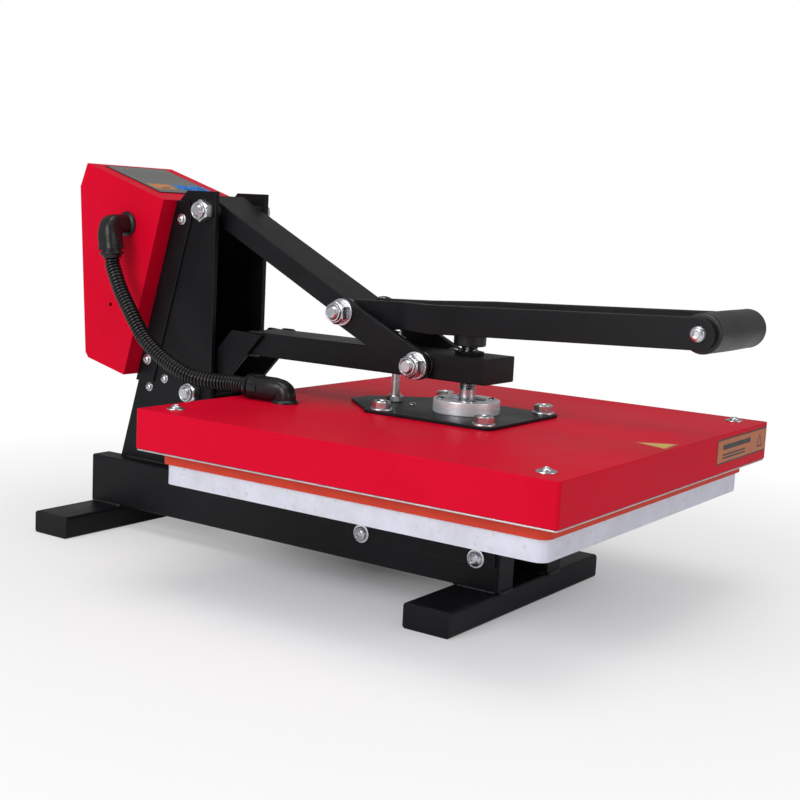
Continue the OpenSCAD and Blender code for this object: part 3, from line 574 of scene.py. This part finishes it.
BRACKET_FACE = 41
BRACKET_SCREWS, TOWER_SCREWS = ((315.5, 319.5), (359, 176)), ((357, 148), (336, 158.5))
build("support_button_bolts",
      button_screws([(side_spot(s, SUPPORT_FACE, (y, 49.5)), s * RIGHT) for s in SIDES for y in (-54, 67)],
                    6.5, 4.5, 8.5, 1.6, 3.0), ZINC, "base", ["support_bolts"], 30)
build("bracket_button_screws",
      button_screws([(side_spot(s, BRACKET_FACE, at), s * RIGHT) for s in SIDES for at in BRACKET_SCREWS],
                    4, 2.6, 5.5, 1)
      + button_screws([(side_spot(s, TOWER_FACE, at), s * RIGHT) for s in SIDES for at in TOWER_SCREWS],
                      3.6, 2.4, 4.6, 0.8), ZINC, "base", ["bracket_screws"], 30)
build("cover_button_screws",
      button_screws([((sx * 181, sy * 181, COVER_TOP), UP) for sx in SIDES for sy in SIDES],
                    4.2, 2.6, 8, 1.2),
      ZINC, "head", ["cover_screws"], 30)
HOUSING_HIGH, SCREW_CIRCLE = 12, 23.5
build("thrust_socket_screws",
      [turned(button_profile(3.6, 1.5, 1.7, 0.9),
              (SCREW_CIRCLE * math.cos(a), SCREW_CIRCLE * math.sin(a), PLATE_TOP + HOUSING_HIGH), UP, 36, 1.7)
       for a in np.radians((45, 135, 225, 315))], STEEL, "head", ["thrust_screws"], 30)

HEX_FLAT = 7.5
hex_bolts = []
for x in (-52, 52):
    for y in (-50, 56):
        hex_bolts.append(turned([(0, 0)] + washer_profile(0, 10, PLATE_WASHER)[1:],
                                (x, y, PLATE_TOP), UP, 40))
        hex_bolts.append(turned(head_profile(HEX_FLAT, 6.5, 0.6), (x, y, PLATE_TOP + PLATE_WASHER), UP, 60,
                                HEX_FLAT))
build("mounting_hex_bolts", hex_bolts, ZINC, "head", ["mounting_bolts"], 30)
build("mounting_plate_rivet", [turned([(0, 1.7), (1.4, 1.6), (2.6, 1.1), (3.1, 0.3), (3.1, 0), (0, 0)],
                                      (0, 58, PLATE_TOP), UP, 24)], ZINC, "head")


# ---------------------------------------------------------------- screw, rod and housing

def screw_rows(low, high, radius, pitch):
    """Rows of a threaded rod, six to a pitch, with chamfered ends."""
    return [(0, low), (radius - 0.8, low), (radius, low + 0.8)] \
        + [(radius, h) for h in np.arange(low + 1, high - 1, pitch / 6)] \
        + [(radius, high - 0.8), (radius - 0.8, high), (0, high)]


SCREW_R, SCREW_PITCH, COLLAR_R = 7.5, 2.0, 12
build("threaded_pressure_screw",
      [turned(screw_rows(166.1, 246.5, SCREW_R, SCREW_PITCH), (0, 0, 0), UP, 40,
              thread=(184, 245, SCREW_PITCH, 0.55)),
       turned([(0, 166.2), (COLLAR_R - 0.3, 166.2), (COLLAR_R, 166.5), (COLLAR_R, 171.5),
               (COLLAR_R - 0.3, 171.8), (0, 171.8)], (0, 0, 0), UP)],
      STEEL, "screw", ["pressure_screw"], 30)

ROD_R, ROD_PITCH, ROD_HOLE, ROD_FLAT = 4, 1.25, 3.9, 6.9
ROD_Y, ROD_WASHER_Z = 78, 215.4
build("threaded_stabiliser_rod",
      [turned(screw_rows(PLATE_TOP, 230, ROD_R, ROD_PITCH), (0, ROD_Y, 0), UP, 28,
              thread=(190, 229, ROD_PITCH, 0.3))],
      ZINC, "head", ["stabiliser_rod"], 30)
rod_foot, rod_top = (turned(nut_profile(ROD_HOLE, ROD_FLAT, 6.4, 5.6, 1.4), (0, ROD_Y, z), UP, 60, ROD_FLAT)
                     for z in (PLATE_TOP, ROD_WASHER_Z + PLATE_WASHER))
rod_washer = turned(washer_profile(ROD_HOLE, 10, PLATE_WASHER), (0, ROD_Y, ROD_WASHER_Z), UP, 40)
build("stabiliser_foot_nut", [rod_foot], ZINC, "head", ["stabiliser_nuts"], 30, (0,))
build("stabiliser_top_nut", [rod_top, rod_washer], ZINC_YELLOW, "head", (), 30, (0, 1))

housing = [(8.0, 3.0), (8.0, 9.2), (8.4, 9.5), (17.6, 9.5), (18, 9.9), (18, 11.6), (18.4, HOUSING_HIGH),
           (29.2, HOUSING_HIGH),
           (29.8, 11.7), (30, 11.2), (30, 6.4), (29.7, 6.2), (29.7, 5.8), (30, 5.6), (30, 0.6), (29.6, 0),
           (13, 0), (12.4, 0.4), (12.4, 3.0)]
build("turned_thrust_housing", [turned(housing, (0, 0, PLATE_TOP), UP, 120)], TURNED, "head",
      ["thrust_housing"], 30, (0,))


def lobed_knob(lobes, radius, low, high):
    """Hand knob: the rim's radius waves lobes times round, and its top and bottom edges are rounded.

    Rows run from the bottom centre out, up the rim and in over a slightly raised middle."""
    spin = np.linspace(0, 2 * np.pi, 160, endpoint=False)[None, :]
    rim = np.array([(0.0, low), (0.45, low), (0.93, low), (0.98, low + 0.8), (1.0, low + 2.2),
                    (1.0, high - 3.2), (0.985, high - 1.6), (0.94, high - 0.5), (0.86, high), (0.52, high),
                    (0.47, high - 0.8), (0.30, high - 0.8), (0.0, high - 0.8)])
    share, level = rim[:, :1], rim[:, 1:]
    wave = 1 - 0.11 * (0.5 + 0.5 * np.cos(lobes * spin)) ** 2
    reach = share * radius * np.where(share > 0.6, wave, 1.0)
    return np.stack([reach * np.cos(spin), reach * np.sin(spin), level + 0 * spin], -1)


KNOB_BORE, KNOB_LOW, KNOB_HIGH = 7.6, 233, 246.9
build("lobed_pressure_knob",
      [lobed_knob(8, 25, KNOB_LOW, KNOB_HIGH),
       turned([(KNOB_BORE, 222.6), (13.4, 222.6), (14.2, 223.0), (14.5, 223.8), (14.5, KNOB_LOW - 1),
               (15.4, KNOB_LOW + 0.2), (KNOB_BORE, KNOB_LOW + 0.2)], (0, 0, 0), UP, 60)],
      PLASTIC, "screw", ["pressure_knob"], 35, (1,))


# ---------------------------------------------------------------- handle grip

GRIP_Y, GRIP_TILT, BAR_TOP, BAR_HALF = -234.7, math.radians(-2.31), 260.2, 12.5
GRIP_R, GRIP_HALF, GRIP_SWELL = 16, 46, 0.12
grip_middle = np.array([0, GRIP_Y * math.cos(GRIP_TILT) + BAR_HALF * math.sin(GRIP_TILT),
                        BAR_TOP + GRIP_Y * math.sin(GRIP_TILT) - BAR_HALF * math.cos(GRIP_TILT)])
grip_end = [(GRIP_R, GRIP_HALF), (15.9, 47.2), (15.4, 48.0), (14.4, 48.4), (0, 48.4)]
grip_rows = [(radius, -height) for radius, height in reversed(grip_end)]
grip_rows += [(GRIP_R + GRIP_SWELL * math.cos(h / GRIP_HALF * math.pi), h) for h in np.linspace(-44, 44, 23)]
build("hand_grip_sleeve", [turned(grip_rows + grip_end, grip_middle, RIGHT, 72)], GRIP, "handle",
      ["handle_grip"], 35)
build("grip_button_screws",
      button_screws([(grip_middle + s * np.array([56.5, 0, 0]), s * RIGHT) for s in SIDES],
                    6, 3.5, 6.2, 0.6, 18), ZINC, "handle", ["grip_screws"], 30)


# ---------------------------------------------------------------- conduit and elbows

ROUTE = [(-84, 367.06, 279.32), (-84, 365.86, 271.41), (-84.3, 361.2, 262), (-85, 353.5, 248.5),
         (-86, 342.3, 234.1), (-87, 327.3, 215.8), (-87.7, 315.3, 203.3), (-88, 301.1, 193.4),
         (-88, 284.8, 184.5), (-88, 267.4, 177.6), (-86, 253.5, 173.2), (-83, 239.4, 171.3),
         (-79.3, 226.3, 170.9), (-76.8, 215, 171), (-76, 206, 171), (-76, 192, 171)]
HOSE_R, RIB_PITCH, RIB_DEPTH, VALLEY = 7.6, 3.4, 1.45, 0.17
HOSE_STEP, HOSE_SIDES = 0.42, 22
path, along = smooth_path(ROUTE, HOSE_STEP)
valley = np.exp(-(((along / RIB_PITCH) % 1.0 - 0.5) / VALLEY) ** 2)
rings = HOSE_R - RIB_DEPTH * valley

# two pieces, which meet in a groove behind the cover, because the hose spans two joints
SPLIT_Y = 243
split = int(np.argmax((path[:, 1] < SPLIT_Y) & (valley > 0.8)))
long_hose = build("corrugated_conduit", [swept(path[:split + 2], rings[:split + 2], HOSE_SIDES)],
                  HOSE, None, ["conduit"], 60)
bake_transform(long_hose)
hose_end = build("corrugated_conduit_end", [swept(path[split:], rings[split:], HOSE_SIDES)],
                 HOSE, None, (), 60)
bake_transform(hose_end)


def elbow(name, corner, first, second, lengths, body, node):
    """Moulded elbow: a squarish bend with three clips, a ring at the hose and a domed foot at the housing.

    first points from the corner to the foot, second to the hose, and lengths are how far away they are."""
    corner, first, second = (np.asarray(v, float) for v in (corner, first, second))
    bend, quarter = 5.0, np.linspace(0, np.pi / 2, 10)[:, None]
    arc = corner + bend * (1 - np.cos(quarter)) * second + bend * (1 - np.sin(quarter)) * first
    start, end = corner + lengths[0] * first, corner + lengths[1] * second
    line = np.vstack([np.linspace(start, arc[0], 8)[:-1], arc,
                      np.linspace(arc[-1], end - 3 * second, 12)[1:]])
    slim, stout = 9.0, 10.8               # half width at the foot and at the hose
    slim_rows, growing = 14, np.linspace(slim, stout, 6)
    stout_rows = len(line) - slim_rows - len(growing)
    reach = np.concatenate([np.full(slim_rows, slim), growing, np.full(stout_rows, stout)])
    reach[-2:] += 0.5
    third = np.cross(first, second)
    grids = [swept(line, reach, 48, third, 3.0)]
    for way in (third, -third, -first):
        flat = np.cross(second, way)
        clip_at = end - 10 * second + 10.5 * way
        grids.append(slab(outline(7, 9, 0.8), 1.2, clip_at, flat, np.cross(way, flat), 0.4))
    grids.append(turned([(0, -3.4), (9.6, -3.4), (9.6, -1.2), (11.2, -0.8), (11.6, -0.4), (11.6, 1.6),
                         (11.2, 2.1), (9.4, 2.6), (8.6, 5.6), (0, 5.6)], end, second, 48))
    grids.append(turned([(0, 0), (12.4, 0), (12.4, 1.4), (12, 2.2), (10.8, 3.2), (9.0, 4.0), (0, 4.0)],
                        start, -first, 48))
    build(name, grids, PLASTIC, body, [node], 40)


LEAN = np.array([0, -0.1495, -0.9888])        # downwards, leaning forwards with the hose
elbow("box_conduit_elbow", (-84, 372, 312), RIGHT, LEAN, (24, 28.5), "base", "box_elbow")
elbow("cover_conduit_elbow", (-76, 147, 171), -UP, REAR, (11, 40.5), "head", "cover_elbow")


# ---------------------------------------------------------------- control panel

BOX_TOP_LOW, BOX_TOP_HIGH = np.array([0, 322.5, 338.0]), np.array([0, 431, 371.0])
PANEL_UP = (BOX_TOP_HIGH - BOX_TOP_LOW) / np.linalg.norm(BOX_TOP_HIGH - BOX_TOP_LOW)
PANEL_OUT = np.cross(RIGHT, PANEL_UP)
PANEL = BOX_TOP_LOW + (BOX_TOP_HIGH - BOX_TOP_LOW) * 0.57
KEY_ROW, DISPLAY_ROW, LAMP_ROW = -23, 16, 34.5


def on_panel(flat, thick, lift, soft=0.15):
    """Plate that lies on the sloping panel, lift above the box's top."""
    return slab(flat, thick, PANEL + lift * PANEL_OUT, RIGHT, PANEL_UP, soft)


def moved(flat, x, y):
    """Outline carried across its plane."""
    return flat + np.array([x, y])


dress("control_panel", INK, 0.15)
build("panel_face_film", [on_panel(outline(83.6, 81.6, 1.0), 0.06, 0.8, 0.02)], FILM, "base")
build("display_glass", [on_panel(moved(outline(62, 26, 0.6), 0, DISPLAY_ROW), 0.34, 0.56)], FILM_DARK,
      "base", ["display_window"])
KEYS = {"mode_key": (-22, FILM_ORANGE), "down_key": (10, FILM_BLUE), "up_key": (30, FILM_BLUE)}
ARROW = np.array([(-3.2, -1.8), (3.2, -1.8), (0, 3.0)])
for key, (x, film) in KEYS.items():
    build("domed_" + key, [on_panel(moved(outline(13, 10, 1.5), x, KEY_ROW), 1.25, 0.62, 0.5)], film,
          key, [key])
    if key != "mode_key":
        way = -1 if key == "down_key" else 1
        mark = ARROW[::way] * np.array([1, way])
        build("arrow_on_" + key, [on_panel(moved(mark, x, KEY_ROW), 0.08, 1.86, 0.02)], INK, key)
for colour, width, x, film in (("orange", 31, -22, FILM_ORANGE), ("blue", 44, 20, FILM_BLUE)):
    build("panel_" + colour + "_field",
          [on_panel(moved(outline(width, 16, 1.0), x, KEY_ROW), 0.07, 0.86, 0.03)], film, "base")
build("panel_lamps",
      [on_panel(moved(outline(3, 3, 1.4), x, LAMP_ROW), 0.25, 0.86, 0.15) for x in (-26, -18)],
      FILM_ORANGE, "base")


# ---------------------------------------------------------------- labels and welds

FILM_EDGE = 0.03
LABEL_AT = np.array([142.0, -205.0, 145.0])


def on_front(flat, lift, thick=0.12):
    """Plate on the cover's front face, lift ahead of it."""
    return slab(flat, thick, LABEL_AT + lift * -REAR, RIGHT, UP, FILM_EDGE)


build("front_label_border", [on_front(outline(120, 22, 0.8), 0.0)], INK, "head")
build("front_label_face", [on_front(outline(117.4, 19.4, 0.6), 0.1)], LABEL, "head")
STRIPES = [(-14, 3.2, 66, 4.4), (-20, -3.4, 54, 1.6), (-20, -6.2, 54, 1.6)]
marks = [on_front(moved(outline(w, h, 0.3), x, y), 0.2, 0.05) for x, y, w, h in STRIPES]
TRIANGLE, TRIANGLE_X = np.array([(-7.2, -6.0), (7.2, -6.0), (0, 6.6)]), 43
build("front_label_marks", marks + [on_front(moved(TRIANGLE, TRIANGLE_X, 0), 0.2, 0.05)], INK, "head")
build("front_label_triangle", [on_front(moved(TRIANGLE * 0.66, TRIANGLE_X, -0.4), 0.24, 0.06)], LABEL, "head")

TOP_TRIANGLE = np.array([(-8.0, -168.0), (-20.0, -201.0), (12.0, -199.0)])


def on_cover(flat, lift):
    """Film on the cover's top, lift above it."""
    return slab(flat, 0.1, np.array([0, 0, COVER_TOP + lift]), RIGHT, REAR, FILM_EDGE)


inner = TOP_TRIANGLE.mean(0) + 0.8 * (TOP_TRIANGLE - TOP_TRIANGLE.mean(0))
build("top_label_border", [on_cover(TOP_TRIANGLE, 0.0)], LABEL, "head")
build("top_label_face", [on_cover(inner, 0.08)], LABEL_YELLOW, "head")


def weld_bead(start, end, radius):
    """Fillet of overlapping weld ripples: a round section along a level line, tapered away at both ends.

    Its radius rises and falls once every two and a half millimetres."""
    start, end = np.asarray(start, float), np.asarray(end, float)
    length = np.linalg.norm(end - start)
    t = np.linspace(0, 1, max(int(length / 0.6), 12))
    ripple = 1 + 0.13 * np.abs(np.sin(np.pi * t * length / 2.5))
    taper = np.clip(np.minimum(t, 1 - t) * length / 3, 0.05, 1) ** 0.5
    return swept(start + t[:, None] * (end - start), radius * ripple * taper, 10, UP)


def level_bead(x, y0, y1, z, radius):
    """Bead along a level edge that runs from front to rear."""
    return weld_bead((x, y0, z), (x, y1, z), radius)


beads = []
for side in SIDES:
    for foot in FEET:
        for y in foot:
            beads.append(weld_bead((side * (RAIL_IN + 1), y, FOOT_TOP),
                                   (side * (RAIL_OUT - 1), y, FOOT_TOP), 1.6))
    for x in (RAIL_IN, RAIL_OUT):
        beads += [level_bead(side * x, front + 3, rear - 3, FOOT_TOP, 1.9) for front, rear in FEET]
    beads.append(level_bead(side * TOWER_FACE, 276, 388, RAIL_TOP, 2.2))
    beads.append(level_bead(side * SUPPORT_FACE, -66, 78, SUPPORT_TOP, 1.2))
build("frame_welds", beads, WELD, "base", (), 60)

ARM_SIDE = 25
build("arm_welds", [level_bead(side * ARM_SIDE, y0, y1, z, 1.6)
                    for y0, y1, z in ((220, 238, 214.6), (222, 239, 192.4)) for side in SIDES],
      WELD, "arm", (), 60)


# ---------------------------------------------------------------- floor, lights and camera

AMBIENT = 0.36                            # strength of the white sky, for everything but the camera
FLOOR_HALF, FADE_TO = 15.0, 0.8           # metres


def pale_floor():
    """Matt pale floor that turns into plain white, for the camera only, away from the object."""
    made = bpy.data.materials.new("pale floor")
    made.use_nodes = True
    tree = made.node_tree
    matt = tree.nodes["Principled BSDF"]
    matt.inputs["Base Color"].default_value = (0.88, 0.88, 0.89, 1)
    matt.inputs["Roughness"].default_value = 0.8
    white = add(tree, "ShaderNodeEmission", {"Color": (1.0, 1.0, 1.0, 1.0), "Strength": 1.0})
    spot = add(tree, "ShaderNodeTexCoord").outputs["Object"]
    away = add(tree, "ShaderNodeVectorMath", {0: spot}, operation="LENGTH").outputs["Value"]
    seen = add(tree, "ShaderNodeLightPath").outputs["Is Camera Ray"]
    share = maths(tree, "MULTIPLY", spread(tree, away, 0.0, FADE_TO), seen)
    both = add(tree, "ShaderNodeMixShader", {0: share, 1: matt.outputs[0], 2: white.outputs[0]})
    tree.links.new(both.outputs[0], tree.nodes["Material Output"].inputs["Surface"])
    return made


corners = [(x * FLOOR_HALF, y * FLOOR_HALF, 0) for x, y in ((-1, -1), (1, -1), (1, 1), (-1, 1))]
ground = bpy.data.meshes.new("floor")
ground.from_pydata(corners, [], [(0, 1, 2, 3)])
ground.materials.append(pale_floor())
floor = bpy.data.objects.new("floor", ground)
bpy.context.scene.collection.objects.link(floor)

world = bpy.data.worlds.new("studio")
world.use_nodes = True
sky = world.node_tree
seen = add(sky, "ShaderNodeLightPath").outputs["Is Camera Ray"]
bright = spread(sky, seen, 0.0, 1.0, AMBIENT, 1.0)
sky.links.new(bright, sky.nodes["Background"].inputs["Strength"])
sky.nodes["Background"].inputs["Color"].default_value = (1.0, 1.0, 1.0, 1)
bpy.context.scene.world = world
bpy.context.scene.view_settings.view_transform = "Standard"


def soft_light(name, place, aim, size, power):
    """Square studio light that faces a point."""
    lamp = bpy.data.lights.new(name, "AREA")
    lamp.shape, lamp.size, lamp.energy = "SQUARE", size, power
    light = bpy.data.objects.new(name, lamp)
    light.location = place
    light.rotation_mode = "QUATERNION"
    light.rotation_quaternion = (Vector(aim) - Vector(place)).to_track_quat("-Z", "Y")
    bpy.context.scene.collection.objects.link(light)


soft_light("key", (-2.4, 0.2, 1.2), (0, 0, 0.15), 1.4, 36)
soft_light("top", (-0.2, -0.3, 2.4), (0, 0, 0.1), 1.6, 21)
soft_light("front fill", (0.2, -2.4, 0.8), (0, 0, 0.15), 1.4, 9)

AZIMUTH, ELEVATION, ROLL = np.radians((-55.591, 8.080, 2.828))
EYE = (-1.0028, -0.7135, 0.3371)
back = np.array([math.sin(AZIMUTH) * math.cos(ELEVATION), -math.cos(AZIMUTH) * math.cos(ELEVATION),
                 math.sin(ELEVATION)])
level = np.cross(-back, UP)
level /= np.linalg.norm(level)
upright = np.cross(level, -back)
right = math.cos(ROLL) * level + math.sin(ROLL) * upright
top = math.cos(ROLL) * upright - math.sin(ROLL) * level
lens = bpy.data.cameras.new("camera")
lens.lens, lens.sensor_width, lens.clip_end = 59.816, 36.0, 60.0
lens.shift_x, lens.shift_y = -0.0044, 0.0014
camera = bpy.data.objects.new("camera", lens)
camera.matrix_world = Matrix([*np.stack([right, top, back, EYE], 1).tolist(), (0, 0, 0, 1)])
bpy.context.scene.collection.objects.link(camera)
bpy.context.scene.camera = camera
